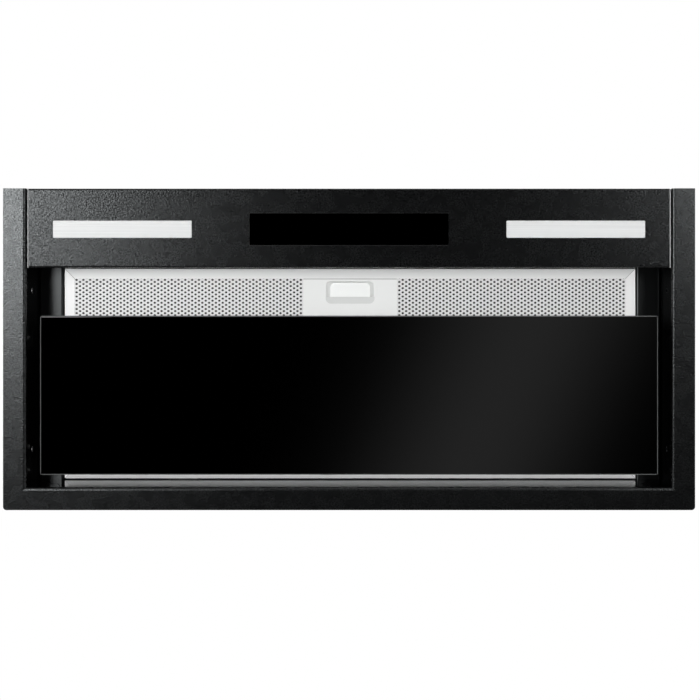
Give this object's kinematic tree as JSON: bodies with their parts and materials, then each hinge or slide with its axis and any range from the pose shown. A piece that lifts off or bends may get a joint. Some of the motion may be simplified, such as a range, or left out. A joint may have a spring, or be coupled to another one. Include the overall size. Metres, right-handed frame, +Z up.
{
  "type": "range hood",
  "caption": "Built-in cooker hood with control band, lamps, touch display, large grease filter and a hinged black glass panel under the well.",
  "frame": {"origin": "middle of the rear strip, on its upper face, where the hood seats under the cabinet", "axes": "+X to the right as seen from the front, +Y towards the wall, +Z up"},
  "size_m": [0.6, 0.279, 0.2951],
  "materials": {
    "coated_steel": "fine-textured black powder coat",
    "zinc": "galvanised",
    "aluminium": "satin",
    "mesh_pack": "layers of expanded aluminium mesh",
    "steel": "plain",
    "motor_can": "satin",
    "black_glass": "polished, opaque black, ground edges",
    "display": "polished, opaque black",
    "lens": "frosted opal",
    "dark_plastic": "matte",
    "pale_plastic": "matte",
    "rubber": "matte"
  },
  "bodies": {
    "hood": {"frame": "coated_steel", "control_band": "coated_steel", "filter_deck": "coated_steel", "deck_rivets": "zinc", "control_cover": "zinc", "lamp_lens_left": "lens", "lamp_lens_right": "lens", "lamp_module_left": "aluminium", "lamp_module_right": "aluminium", "touch_glass": "display", "touch_board": "dark_plastic", "housing_wrap": "zinc", "housing_side_left": "zinc", "housing_side_right": "zinc", "housing_rivets": "zinc", "scroll_left": "dark_plastic", "scroll_right": "dark_plastic", "motor": "motor_can", "motor_bracket": "zinc", "motor_bushes": "rubber", "capacitor": "aluminium", "capacitor_clip": "zinc", "control_box": "pale_plastic", "control_box_lid": "pale_plastic", "junction_box": "dark_plastic", "junction_cover": "dark_plastic", "cable_gland": "dark_plastic", "outlet_collar": "dark_plastic", "flap_pin": "steel", "hinge_bracket_left": "coated_steel", "hinge_bracket_right": "coated_steel", "hinge_pins": "steel", "catch_bracket_left": "coated_steel", "catch_bracket_right": "coated_steel", "catch_magnets": "steel"},
    "panel": {"glass_panel": "black_glass", "panel_carrier": "coated_steel", "panel_tape": "rubber"},
    "filter": {"filter_frame": "aluminium", "filter_face": "aluminium", "filter_pack": "mesh_pack", "filter_back": "aluminium", "filter_tabs": "steel", "latch_plate": "aluminium", "latch_spring": "steel"},
    "latch": {"latch_slider": "aluminium"},
    "rotor": {"impeller": "dark_plastic", "motor_shaft": "steel"},
    "front_flap": {"flap_front": "pale_plastic"},
    "rear_flap": {"flap_rear": "pale_plastic"}
  },
  "joints": [
    {"name": "panel_swing", "type": "hinge", "parent": "hood", "child": "panel", "pos_m": [0, -0.0285, 0.0148], "axis": [1, 0, 0], "range_deg": [0, 85]},
    {"name": "filter_drop", "type": "hinge", "parent": "hood", "child": "filter", "pos_m": [0, -0.0089, 0.047], "axis": [1, 0, 0], "range_deg": [0, 5]},
    {"name": "latch_pull", "type": "slide", "parent": "filter", "child": "latch", "axis": [0, 1, 0], "range_m": [0, 0.006], "stiffness_N_per_m": 400, "springref_m": -0.004, "deforming": ["latch_spring"]},
    {"name": "rotor_spin", "type": "hinge", "parent": "hood", "child": "rotor", "pos_m": [0, -0.11075, 0.1573], "axis": [1, 0, 0], "continuous": true},
    {"name": "front_flap_swing", "type": "hinge", "parent": "hood", "child": "front_flap", "pos_m": [0, -0.0745, 0.2475], "axis": [-1, 0, 0], "range_deg": [0, 75]},
    {"name": "rear_flap_swing", "type": "hinge", "parent": "hood", "child": "rear_flap", "pos_m": [0, -0.0745, 0.2475], "axis": [1, 0, 0], "range_deg": [0, 75]}
  ],
  "couplings": [
    {"joint": "latch_pull", "follows": "filter_drop", "m_per_rad": 0.068555}
  ]
}
